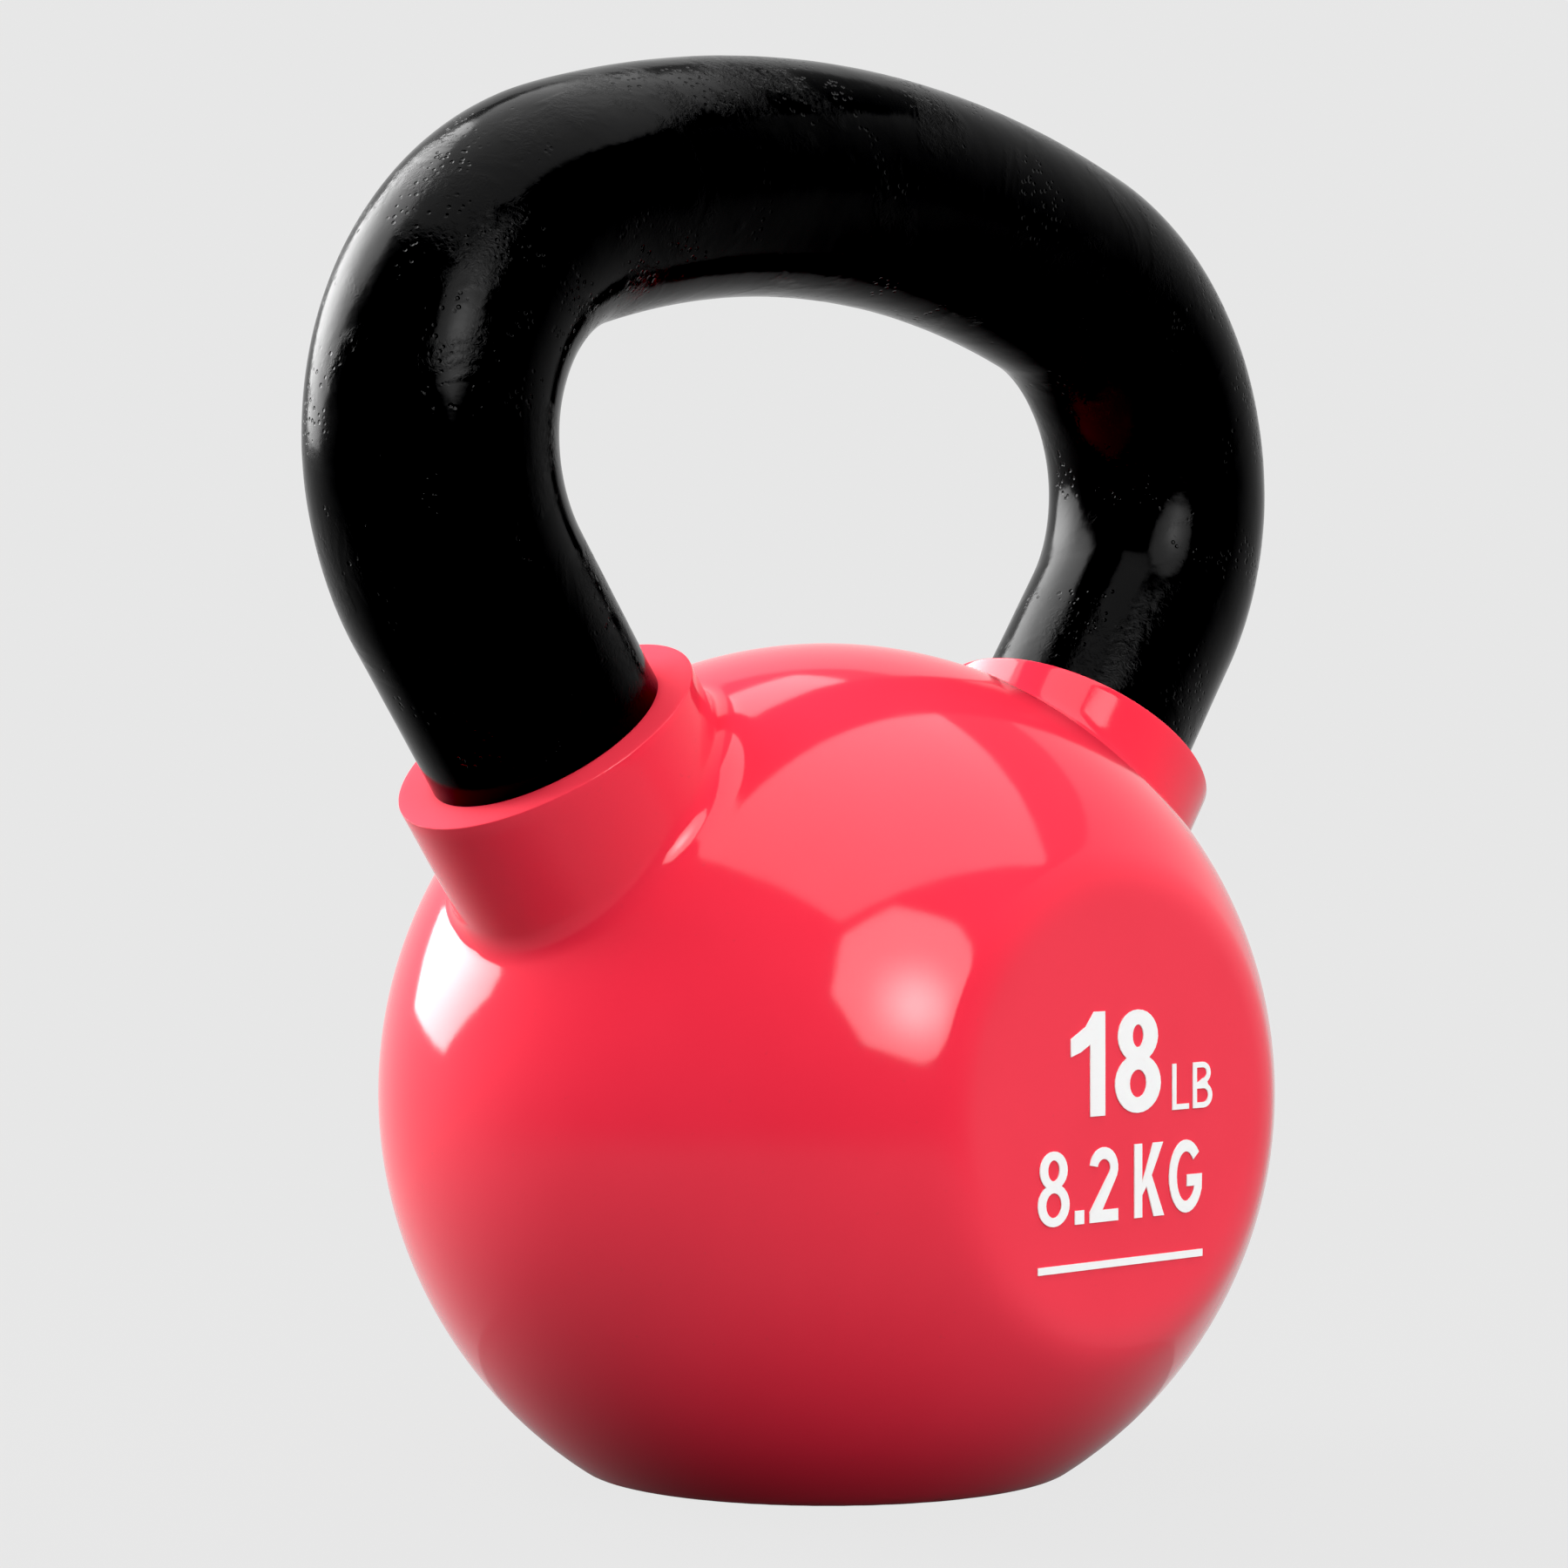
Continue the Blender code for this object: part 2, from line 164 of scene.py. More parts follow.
class Sheet:
    """The node sheet of a material or of the world, with a method for each kind of pattern."""

    def __init__(self, owner: bpy.types.ID, space: str = "Object") -> None:
        """Open the sheet of a new material or world.

        Args:
            owner: The material or the world.
            space: The coordinates that its patterns lie in.
        """
        owner.use_nodes = True
        self.owner = owner
        self.tree = owner.node_tree
        self.place = self.node("ShaderNodeTexCoord", {}, {}).outputs[space]

    def node(self, kind: str, settings: dict, sockets: dict) -> bpy.types.Node:
        """Add a node, apply its settings, then fill its inputs.

        Args:
            kind: Blender's name of the node type.
            settings: Properties of the node, set first.
            sockets: Values, sockets or signals for the node's inputs, by index or name.

        Returns:
            The new node.
        """
        node = self.tree.nodes.new(kind)
        for key, value in settings.items():
            setattr(node, key, value)
        for key, value in sockets.items():
            self.feed(node.inputs[key], value)
        return node

    def feed(self, target: bpy.types.NodeSocket, value: object) -> None:
        """Link a socket or a signal to an input, or set a constant on it.

        Args:
            target: The input.
            value: What it gets.
        """
        source = value.socket if isinstance(value, Signal) else value
        if isinstance(source, bpy.types.NodeSocket):
            self.tree.links.new(source, target)
        else:
            target.default_value = source

    def noise(self, size: float, detail: float = 3.0, rough: float = 0.5,
              warp: float = 0.0) -> Signal:
        """Add cloudy noise.

        Args:
            size: Width of the largest blobs, in metres.
            detail: Octaves of finer noise.
            rough: Share of the finer octaves.
            warp: How far the noise distorts itself.

        Returns:
            The noise, about 0.5 on average.
        """
        sockets = {"Vector": self.place, "Scale": 1.0 / size, "Detail": detail,
                   "Roughness": rough, "Distortion": warp}
        return Signal(self, self.node("ShaderNodeTexNoise", {}, sockets).outputs[0])

    def patches(self, kind: Patches) -> Signal:
        """Add soft patches, 0 between them and 1 on them."""
        cloud = self.noise(kind.size, kind.detail, kind.rough, kind.warp)
        return self.step(cloud, kind.low, kind.high)

    def cells(self, size: float, soft: float = 0.4) -> Signal:
        """Add rounded cells, 0 at each centre and rising outward.

        Args:
            size: Distance between cell centres, in metres.
            soft: Smoothness between neighbours.

        Returns:
            Distance to the nearest centre, in cells.
        """
        sockets = {"Vector": self.place, "Scale": 1.0 / size, "Smoothness": soft}
        node = self.node("ShaderNodeTexVoronoi", {"feature": "SMOOTH_F1"}, sockets)
        return Signal(self, node.outputs["Distance"])

    def height(self) -> Signal:
        """Return the height in metres, or in the air the sine of the angle above the horizon."""
        return Signal(self, self.node("ShaderNodeSeparateXYZ", {}, {0: self.place}).outputs["Z"])

    def vector(self, operation: str, *vectors: object) -> bpy.types.Node:
        """Add a Vector Math node for an operation on the vectors and return it."""
        settings = {"operation": operation}
        return self.node("ShaderNodeVectorMath", settings, dict(enumerate(vectors)))

    def distance(self, centre: tuple = (0.0, 0.0, 0.0)) -> Signal:
        """Return how far the surface is from a point, in metres."""
        return Signal(self, self.vector("DISTANCE", self.place, centre).outputs["Value"])

    def along(self, place: bpy.types.NodeSocket, heading: object) -> Signal:
        """Return how far a place lies along a heading."""
        return Signal(self, self.vector("DOT_PRODUCT", place, heading).outputs["Value"])

    def step(self, value: Signal, low: float, high: float, bottom: float = 0.0,
             top: float = 1.0) -> Signal:
        """Map a signal smoothly from one range to another.

        Args:
            value: The signal to map.
            low: Value that maps to bottom.
            high: Value that maps to top.
            bottom: Result at low.
            top: Result at high.

        Returns:
            The mapped signal, held at its ends.
        """
        sockets = {0: value, 1: low, 2: high, 3: bottom, 4: top}
        node = self.node("ShaderNodeMapRange", {"interpolation_type": "SMOOTHSTEP"}, sockets)
        return Signal(self, node.outputs[0])

    def blend(self, share: Signal, first: object, second: object) -> bpy.types.NodeSocket:
        """Mix two colours.

        Args:
            share: How much of the second colour shows.
            first: Colour or socket at 0.
            second: Colour or socket at 1.

        Returns:
            The mixed colour's socket.
        """
        colours = [(*c, 1.0) if isinstance(c, tuple) else c for c in (first, second)]
        sockets = {0: share, 6: colours[0], 7: colours[1]}
        return self.node("ShaderNodeMix", {"data_type": "RGBA"}, sockets).outputs[2]

    def relief(self, height: Signal, depth: float, under: object = None) -> bpy.types.NodeSocket:
        """Turn a height signal into a bumped normal.

        Args:
            height: Signal from about 0 to 1.
            depth: How far 1 stands above 0, in metres.
            under: Normal of a coarser relief below this one, if any.

        Returns:
            The normal's socket.
        """
        sockets = {"Strength": 1.0, "Distance": depth, "Height": height}
        if under is not None:
            sockets["Normal"] = under
        return self.node("ShaderNodeBump", {}, sockets).outputs["Normal"]

    def bumps(self, kind: Bumps, under: object = None,
              mask: Signal | None = None) -> bpy.types.NodeSocket:
        """Add a layer of cloudy relief.

        Args:
            kind: The size, depth and grain of its bumps.
            under: Normal of a coarser relief below this one, if any.
            mask: Where the layer shows, if not everywhere.

        Returns:
            The normal's socket.
        """
        height = self.noise(kind.size, kind.detail, kind.rough, kind.warp)
        if mask is not None:
            height = height * mask
        return self.relief(height, kind.depth, under)

    def glow(self, colour: object, kind: str = "ShaderNodeEmission") -> bpy.types.NodeSocket:
        """Return a shader that gives off a colour.

        Args:
            colour: Colour or socket, with its brightness in it.
            kind: Emission for a surface, Background for the world.

        Returns:
            The shader's socket.
        """
        value = (*colour, 1.0) if isinstance(colour, tuple) else colour
        return self.node(kind, {}, {"Color": value}).outputs[0]

    def mix(self, share: object, first: bpy.types.NodeSocket,
            second: bpy.types.NodeSocket) -> bpy.types.NodeSocket:
        """Mix two shaders, all first at share 0 and all second at share 1."""
        return self.node("ShaderNodeMixShader", {}, {0: share, 1: first, 2: second}).outputs[0]

    def finish(self, shader: bpy.types.NodeSocket) -> bpy.types.ID:
        """Link a shader to the sheet's output.

        Args:
            shader: The last shader's socket.

        Returns:
            The sheet's owner.
        """
        kinds = {"OUTPUT_MATERIAL", "OUTPUT_WORLD"}
        output = next(node for node in self.tree.nodes if node.type in kinds)
        self.tree.links.new(shader, output.inputs["Surface"])
        return self.owner

    def shade(self, **sockets: object) -> bpy.types.Material:
        """Fill the Principled shader's inputs and return the finished material.

        Args:
            **sockets: Values or links by input name, with _ for each space.

        Returns:
            The material.
        """
        shader = self.tree.nodes["Principled BSDF"]
        for key, value in sockets.items():
            self.feed(shader.inputs[key.replace("_", " ")], value)
        return self.owner


@dataclass(frozen=True)
class VinylFinish:
    """Dipped vinyl: saturated red under a wet-looking skin, scuffed where it stands."""

    colour: Colour = (0.905, 0.036, 0.070)
    shade_colour: Colour = (0.88, 0.033, 0.065)
    scuff_colour: Colour = (0.42, 0.05, 0.06)
    gloss: float = 0.085
    refraction: float = 1.41
    clouds: Patches = Patches(28.0 * MM, 0.35, 0.70, 2.0)
    specks: Patches = Patches(0.9 * MM, 0.70, 0.78, 2.0)
    speck_tint: float = 0.12
    speck_rough: float = 0.10
    scuffs: Patches = Patches(5.0 * MM, 0.40, 0.70, 3.0, 0.55)
    scuff_heights: tuple[float, float] = (1.6 * MM, 0.1 * MM)
    scuff_tint: float = 0.35
    scuff_rough: float = 0.30
    smudges: Patches = Patches(16.0 * MM, 0.45, 0.75, 4.0, 0.6, 0.8)
    smudge_rough: float = 0.035
    cut_edge: tuple[float, float] = (-0.10 * MM, -0.02 * MM)
    cut_rough: float = 0.80
    peel: Bumps = Bumps(5.0 * MM, 0.012 * MM)
    grain: Bumps = Bumps(0.35 * MM, 0.002 * MM, 2.0)

    def material(self, axis: tuple, cut: float) -> bpy.types.Material:
        """Return the red vinyl material, matt where the knife trimmed the cuffs.

        Args:
            axis: Direction up the right horn.
            cut: Distance of the trimmed rims from the origin along either horn.

        Returns:
            The material.
        """
        sheet = Sheet(bpy.data.materials.new("dipped_red_vinyl"))
        along = sheet.along(sheet.vector("ABSOLUTE", sheet.place).outputs[0], axis)
        trimmed = sheet.step(along, cut + self.cut_edge[0], cut + self.cut_edge[1])
        specks = sheet.patches(self.specks)
        scuffs = sheet.step(sheet.height(), *self.scuff_heights) * sheet.patches(self.scuffs)
        tone = sheet.blend(sheet.patches(self.clouds), self.colour, self.shade_colour)
        tone = sheet.blend(specks * self.speck_tint, tone, self.scuff_colour)
        tone = sheet.blend(scuffs * self.scuff_tint, tone, self.scuff_colour)
        rough = self.gloss + sheet.patches(self.smudges) * self.smudge_rough
        rough = rough + specks * self.speck_rough + scuffs * self.scuff_rough
        rough = rough + trimmed * self.cut_rough
        skin = sheet.bumps(self.grain, sheet.bumps(self.peel))
        return sheet.shade(Base_Color=tone, Roughness=rough, Normal=skin, IOR=self.refraction)


@dataclass(frozen=True)
class EnamelFinish:
    """Baked black enamel over as-cast iron: deep gloss, waves, wrinkles, patches of pinholes."""

    colour: Colour = (0.0004, 0.0004, 0.0005)
    dust_colour: Colour = (0.0015, 0.0015, 0.0015)
    gloss: float = 0.12
    refraction: float = 1.15
    pitted: Patches = Patches(12.0 * MM, 0.53, 0.64, 2.0, 0.5, 0.6)
    pit_spacing: float = 1.1 * MM
    pit_rim: tuple[float, float] = (0.34, 0.14)
    pit_depth: float = 0.09 * MM
    pit_dust: float = 0.3
    pit_rough: float = 0.10
    smears: Patches = Patches(20.0 * MM, 0.42, 0.72, 4.0, 0.65, 1.0)
    smear_dust: float = 0.5
    smear_rough: float = 0.08
    waves: Bumps = Bumps(9.0 * MM, 0.10 * MM, 1.5)
    ripples: Bumps = Bumps(2.2 * MM, 0.020 * MM, 2.0)
    creased: Patches = Patches(17.0 * MM, 0.50, 0.62, 3.0, 0.6, 0.9)
    creases: Bumps = Bumps(1.3 * MM, 0.06 * MM, 4.0, 0.6, 2.2)

    def material(self) -> bpy.types.Material:
        """Return the black enamel material.

        Returns:
            The material.
        """
        sheet = Sheet(bpy.data.materials.new("baked_black_enamel"))
        pits = sheet.step(sheet.cells(self.pit_spacing), *self.pit_rim) * sheet.patches(self.pitted)
        smears = sheet.patches(self.smears)
        dust = smears * self.smear_dust + pits * self.pit_dust
        tone = sheet.blend(dust, self.colour, self.dust_colour)
        rough = self.gloss + smears * self.smear_rough + pits * self.pit_rough
        ripples = sheet.bumps(self.ripples, sheet.bumps(self.waves))
        creases = sheet.bumps(self.creases, ripples, sheet.patches(self.creased))
        skin = sheet.relief(1.0 - pits, self.pit_depth, creases)
        return sheet.shade(Base_Color=tone, Roughness=rough, Normal=skin, IOR=self.refraction)


@dataclass(frozen=True)
class InkFinish:
    """Screen-printed white ink: even, slightly chalky, with the weave of the screen in it."""

    colour: Colour = (0.95, 0.95, 0.95)
    thin_colour: Colour = (0.93, 0.86, 0.86)
    thin: Patches = Patches(1.4 * MM, 0.58, 0.78, 3.0, 0.6)
    thin_tint: float = 0.6
    refraction: float = 1.45
    gloss: float = 0.38
    chalk_size: float = 3.0 * MM
    chalk_rough: float = 0.15
    weave: float = 0.25 * MM
    weave_soft: float = 0.8
    weave_depth: float = 0.006 * MM

    def material(self) -> bpy.types.Material:
        """Return the white ink material.

        Returns:
            The material.
        """
        sheet = Sheet(bpy.data.materials.new("printed_white_ink"))
        thin = sheet.patches(self.thin) * self.thin_tint
        tone = sheet.blend(thin, self.colour, self.thin_colour)
        rough = self.gloss + sheet.noise(self.chalk_size) * self.chalk_rough
        screen = sheet.relief(sheet.cells(self.weave, self.weave_soft), self.weave_depth)
        return sheet.shade(Base_Color=tone, Roughness=rough, Normal=screen, IOR=self.refraction)


@dataclass(frozen=True)
class IronFinish:
    """Sand-cast grey iron, as it is under its coatings."""

    colour: Colour = (0.10, 0.10, 0.105)
    rust_colour: Colour = (0.13, 0.055, 0.03)
    rust: Patches = Patches(9.0 * MM, 0.56, 0.74, 5.0, 0.65)
    metal: float = 0.85
    rust_metal: float = 0.7
    gloss: float = 0.55
    mottle_size: float = 2.0 * MM
    mottle_rough: float = 0.25
    sand: Bumps = Bumps(0.8 * MM, 0.15 * MM, 4.0, 0.7)

    def material(self) -> bpy.types.Material:
        """Return the cast iron material.

        Returns:
            The material.
        """
        sheet = Sheet(bpy.data.materials.new("sand_cast_iron"))
        rust = sheet.patches(self.rust)
        tone = sheet.blend(rust, self.colour, self.rust_colour)
        metal = self.metal - rust * self.rust_metal
        rough = self.gloss + sheet.noise(self.mottle_size) * self.mottle_rough
        sand = sheet.bumps(self.sand)
        return sheet.shade(Base_Color=tone, Metallic=metal, Roughness=rough, Normal=sand)


def put(name: str, data: bpy.types.ID) -> bpy.types.Object:
    """Put a new object in the scene.

    Args:
        name: Its name.
        data: Its mesh or camera.

    Returns:
        The object.
    """
    item = bpy.data.objects.new(name, data)
    bpy.context.scene.collection.objects.link(item)
    return item


def flat_piece(name: str, rim: np.ndarray, material: bpy.types.Material) -> bpy.types.Object:
    """Make a flat piece of one face.

    Args:
        name: Name of the new object.
        rim: Its corners in order.
        material: Its finish.

    Returns:
        The new object.
    """
    mesh = bpy.data.meshes.new(name)
    mesh.from_pydata(rim.tolist(), [], [tuple(range(len(rim)))])
    mesh.materials.append(material)
    return put(name, mesh)


def round_rim(radius: float, corners: int) -> np.ndarray:
    """Return a circle's corners in the ground plane.

    Args:
        radius: Its radius.
        corners: How many corners it has.

    Returns:
        The corners in order.
    """
    turn = 2.0 * math.pi * np.arange(corners) / corners
    return np.stack([np.cos(turn), np.sin(turn), np.zeros(corners)], axis=-1) * radius


def grid_piece(name: str, rows: list[np.ndarray], material: bpy.types.Material) -> bpy.types.Object:
    """Skin a loop of rings, last to first too, into one closed body with its faces outward.

    Args:
        name: Name of the new object.
        rows: Rings of equal length, each an array of points.
        material: Finish of the whole piece.

    Returns:
        The new object, shaded smooth.
    """
    points = np.stack(rows)
    count, around = points.shape[:2]
    index = np.arange(count * around).reshape(count, around)
    up = np.roll(index, -1, axis=0)
    quads = np.stack([index, np.roll(index, -1, axis=1), np.roll(up, -1, axis=1), up], axis=-1)
    quads = quads.reshape(-1, 4)
    flat = points.reshape(-1, 3)
    corner = flat[quads]
    volume = np.einsum("ij,ij->i", corner[:, 0], np.cross(corner[:, 1], corner[:, 2])).sum()
    volume += np.einsum("ij,ij->i", corner[:, 0], np.cross(corner[:, 2], corner[:, 3])).sum()
    if volume < 0.0:
        quads = quads[:, ::-1]
    mesh = bpy.data.meshes.new(name)
    mesh.from_pydata(flat.tolist(), [], quads.tolist())
    mesh.materials.append(material)
    mesh.shade_smooth()
    return put(name, mesh)


def steps(count: int) -> np.ndarray:
    """Return the ends of equal steps from 0 to 1, the last of them 1."""
    return np.linspace(0.0, 1.0, count + 1)[1:]


def unit(vectors: np.ndarray) -> np.ndarray:
    """Return the vectors at length 1."""
    return vectors / np.linalg.norm(vectors, axis=-1, keepdims=True)


@dataclass
class Ball:
    """The ball's outside: a sphere with a flat in front, one behind and one below."""

    radius: float = 64.4 * MM
    centre_height: float = 54.4 * MM
    flat_y: float = field(default_factory=lambda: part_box("vinyl_jacket")[1].y)
    flat_edge: float = 11.0 * MM
    base_edge: float = 4.0 * MM

    @property
    def centre(self) -> np.ndarray:
        """Return the sphere's centre."""
        return np.array([0.0, 0.0, self.centre_height])

    def _capped(self, rays: np.ndarray, reach: np.ndarray, cap: tuple, inset: float) -> np.ndarray:
        """Cut the reach of rays short at one flat and at the round edge round it.

        Args:
            rays: Unit directions from the centre.
            reach: Distance to the surface along each ray so far.
            cap: The flat's outward normal, its distance from the centre, and its edge radius.
            inset: How far the whole surface is moved inward.

        Returns:
            The new distances.
        """
        normal, distance, edge = cap
        radius, distance = self.radius - inset, distance - inset
        hub = math.sqrt((radius - edge) ** 2 - (distance - edge) ** 2)
        along = rays @ np.array(normal)
        across = np.sqrt(np.maximum(0.0, 1.0 - along ** 2))
        angle = np.arctan2(across, along)
        on_flat = angle < math.atan2(hub, distance)
        on_edge = (angle < math.atan2(hub, distance - edge)) & ~on_flat
        middle = (distance - edge) * along + hub * across
        spread = np.maximum(0.0, middle ** 2 - (radius - edge) ** 2 + edge ** 2)
        reach = np.where(on_edge, middle + np.sqrt(spread), reach)
        return np.where(on_flat, distance / np.maximum(along, SHALLOWEST), reach)

    def surface(self, rays: np.ndarray, inset: float = 0.0) -> np.ndarray:
        """Return where rays from the centre leave the ball.

        Args:
            rays: Unit directions.
            inset: How far the surface is moved inward.

        Returns:
            Points in the frame's coordinates.
        """
        reach = np.full(rays.shape[:-1], self.radius - inset)
        caps = (((0.0, -1.0, 0.0), self.flat_y, self.flat_edge),
                ((0.0, 1.0, 0.0), self.flat_y, self.flat_edge),
                ((0.0, 0.0, -1.0), self.centre_height, self.base_edge))
        for cap in caps:
            reach = self._capped(rays, reach, cap, inset)
        return self.centre + rays * reach[..., None]


@dataclass
class Horn:
    """The right horn's straight axis; the left horn is its mirror image."""

    foot_x: float = 64.0 * MM
    foot_up: float = 64.4 * MM
    lean: float = math.radians(35.3)

    @property
    def foot(self) -> np.ndarray:
        """Return the point that the axis passes, from the ball's centre."""
        return np.array([self.foot_x, 0.0, self.foot_up])

    @property
    def axis(self) -> np.ndarray:
        """Return the direction up and outward along the horn."""
        return np.array([math.sin(self.lean), 0.0, math.cos(self.lean)])

    @property
    def inward(self) -> np.ndarray:
        """Return the direction square to the axis, towards the other horn."""
        return np.array([-math.cos(self.lean), 0.0, math.sin(self.lean)])

    @property
    def across(self) -> np.ndarray:
        """Return the direction square to both."""
        return np.cross(self.axis, self.inward)


@dataclass
class BallNet:
    """Rings that run over the ball from round one horn to round the other, square to their spokes.

    They are the circles of a pencil whose two end circles surround the cuffs.

    Attributes:
        patch_tilt: Angle from the vertical to the middle of an end circle.
        patch_half: Half the angle that an end circle spans.
        spokes: Points on each ring.
        rings: Rings of the outside.
        evenness: 0 keeps the spokes even at the horns, 1 evens them on the middle ring.
        base_edge: Angle from the downward vertical to the base's round edge.
        gather_reach: How far off that edge rays are still drawn to it.
        gather: How strongly they are drawn.
    """

    patch_tilt: float = math.radians(49.7)
    patch_half: float = math.radians(28.6)
    spokes: int = 256
    rings: int = 200
    evenness: float = 0.5
    base_edge: float = math.radians(32.4)
    gather_reach: float = math.radians(12.0)
    gather: float = 0.75

    def rays(self, rings: int) -> np.ndarray:
        """Return unit directions on each ring, from the right horn's ring to the left's.

        Args:
            rings: How many rings to make, ends included.

        Returns:
            An array of rings by spokes by 3.
        """
        near = math.tan((self.patch_tilt - self.patch_half) / 2.0)
        far = math.tan((self.patch_tilt + self.patch_half) / 2.0)
        pole = math.sqrt(near * far)
        end = math.log((far - pole) / (far + pole))
        turn = 2.0 * math.pi * (np.arange(self.spokes) + 0.5) / self.spokes - math.pi
        turn = 2.0 * np.arctan(pole ** self.evenness * np.tan(turn / 2.0))
        spread = np.linspace(end, -end, rings)
        circle = np.exp(spread[:, None] + 1j * turn[None, :])
        flat = pole * (1.0 + circle) / (1.0 - circle)
        size = np.abs(flat) ** 2
        rays = np.stack([2.0 * flat.real, 2.0 * flat.imag, 1.0 - size], axis=-1)
        return self._gathered(rays / (1.0 + size)[..., None])

    def _gathered(self, rays: np.ndarray) -> np.ndarray:
        """Draw rays near the base's round edge closer to it, so that it gets narrow faces.

        Args:
            rays: Unit directions.

        Returns:
            Unit directions, crowded round the edge.
        """
        tilt = np.arccos(np.clip(-rays[..., 2], -1.0, 1.0))
        off = np.clip((tilt - self.base_edge) / self.gather_reach, -1.0, 1.0)
        tilt = tilt - self.gather * self.gather_reach * off * (1.0 - off ** 2) ** 2
        flat = unit(rays[..., :2]) * np.sin(tilt)[..., None]
        return np.concatenate([flat, -np.cos(tilt)[..., None]], axis=-1)


@dataclass
class Jacket:
    """The dipped vinyl: ball, base and two cuffs, one shell open where the horns leave it.

    Attributes:
        ball: The ball that it covers.
        horn: The right horn.
        net: The rings that run over the ball.
        finish: Its vinyl.
        wall: Its thickness.
        cuff_radius: Outside of a cuff, from the horn's axis.
        cuff_top: The trimmed rim, along the horn's axis from its foot point.
        fillet: Round between a cuff and the ball.
        bore_radius: Inside of a cuff.
        lip: Round of the rim's outer edge.
        bore_lip: Round of its inner edge.
    """

    ball: Ball
    horn: Horn
    net: BallNet = field(default_factory=BallNet)
    finish: VinylFinish = field(default_factory=VinylFinish)
    wall: float = 4.7 * MM
    cuff_radius: float = 22.0 * MM
    cuff_top: float = -16.9 * MM
    fillet: float = 5.0 * MM
    bore_radius: float = 16.9 * MM
    lip: float = 0.18 * MM
    bore_lip: float = 0.06 * MM
    inner_rings: int = 40
    ball_steps: int = 6
    fillet_steps: int = 10
    cuff_steps: int = 8
    rim_steps: int = 5
    bore_steps: int = 4
    lip_turns: tuple[float, ...] = (30.0, 60.0, 90.0)
    bore_lip_turns: tuple[float, ...] = (120.0, 150.0, 180.0)

    def _rim_profile(self, full: np.ndarray) -> list:
        """Work out the profile over a cuff's trimmed rim, with a small lip at either edge.

        Args:
            full: A one for each spoke.

        Returns:
            Pairs of distance out from the horn's axis and along it.
        """
        profile = []
        shoulder = self.cuff_radius - self.lip
        for angle in np.radians(self.lip_turns):
            profile.append(((shoulder + self.lip * math.cos(angle)) * full,
                            (self.cuff_top - self.lip + self.lip * math.sin(angle)) * full))
        for share in steps(self.rim_steps):
            width = shoulder - self.bore_radius - self.bore_lip
            profile.append(((shoulder - width * share) * full, self.cuff_top * full))
        for angle in np.radians(self.bore_lip_turns):
            profile.append(((self.bore_radius + self.bore_lip * (1.0 + math.cos(angle))) * full,
                            (self.cuff_top - self.bore_lip * (1.0 - math.sin(angle))) * full))
        return profile

    def _cuff_profile(self, edge: np.ndarray) -> tuple[list, np.ndarray]:
        """Work out the right cuff's profile on each spoke, from the ball up and into the bore.

        Args:
            edge: The net's first ring, from the ball's centre.

        Returns:
            Pairs of distance out from the horn's axis and along it, and the spokes' directions.
        """
        horn = self.horn
        rel = edge - horn.foot
        inward, across = rel @ horn.inward, rel @ horn.across
        out = np.hypot(inward, across)
        spoke = unit(inward[:, None] * horn.inward + across[:, None] * horn.across)
        centre_out = -spoke @ horn.foot
        centre_along = -horn.axis @ horn.foot
        off_plane = np.cross(horn.axis, spoke) @ -horn.foot
        section = np.sqrt(self.ball.radius ** 2 - off_plane ** 2)
        fillet_out = self.cuff_radius + self.fillet
        rise = np.sqrt((section + self.fillet) ** 2 - (fillet_out - centre_out) ** 2)
        meet = np.arctan2(rise, fillet_out - centre_out)
        start = np.arctan2(rel @ horn.axis - centre_along, out - centre_out)
        profile = []
        for share in steps(self.ball_steps):
            angle = start + (meet - start) * share
            profile.append((centre_out + section * np.cos(angle),
                            centre_along + section * np.sin(angle)))
        for share in 1.0 - steps(self.fillet_steps):
            angle = math.pi + meet * share
            profile.append((fillet_out + self.fillet * np.cos(angle),
                            centre_along + rise + self.fillet * np.sin(angle)))
        full = np.ones_like(out)
        foot = centre_along + rise
        for share in steps(self.cuff_steps):
            top = self.cuff_top - self.lip
            profile.append((self.cuff_radius * full, foot + (top - foot) * share))
        profile += self._rim_profile(full)
        inner = np.sqrt((self.ball.radius - self.wall) ** 2 - off_plane ** 2)
        bore_end = centre_along + np.sqrt(inner ** 2 - (self.bore_radius - centre_out) ** 2)
        for share in steps(self.bore_steps):
            top = self.cuff_top - self.bore_lip
            profile.append((self.bore_radius * full, top + (bore_end - top) * share))
        return profile, spoke

    def rows(self) -> list[np.ndarray]:
        """Work out the whole shell's rings.

        Returns:
            The rings of the right cuff, the ball and the left cuff, and back inside.
        """
        outside = list(self.ball.surface(self.net.rays(self.net.rings)))
        profile, spoke = self._cuff_profile(outside[0] - self.ball.centre)
        foot = self.ball.centre + self.horn.foot
        right = []
        for out, along in profile:
            right.append(foot + spoke * out[:, None] + self.horn.axis * along[:, None])
        left = [ring * np.array([-1.0, 1.0, 1.0]) for ring in right]
        inside = list(self.ball.surface(self.net.rays(self.inner_rings), self.wall))
        return right[::-1] + outside + left + inside[::-1]

    def build(self) -> bpy.types.Object:
        """Make the jacket in place of its plain solid.

        Returns:
            The jacket.
        """
        cut = float(self.horn.axis @ (self.ball.centre + self.horn.foot)) + self.cuff_top
        vinyl = self.finish.material(tuple(self.horn.axis), cut)
        piece = grid_piece("jacket_skin", self.rows(), vinyl)
        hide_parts("vinyl_jacket")
        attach(piece, ROOT)
        return piece


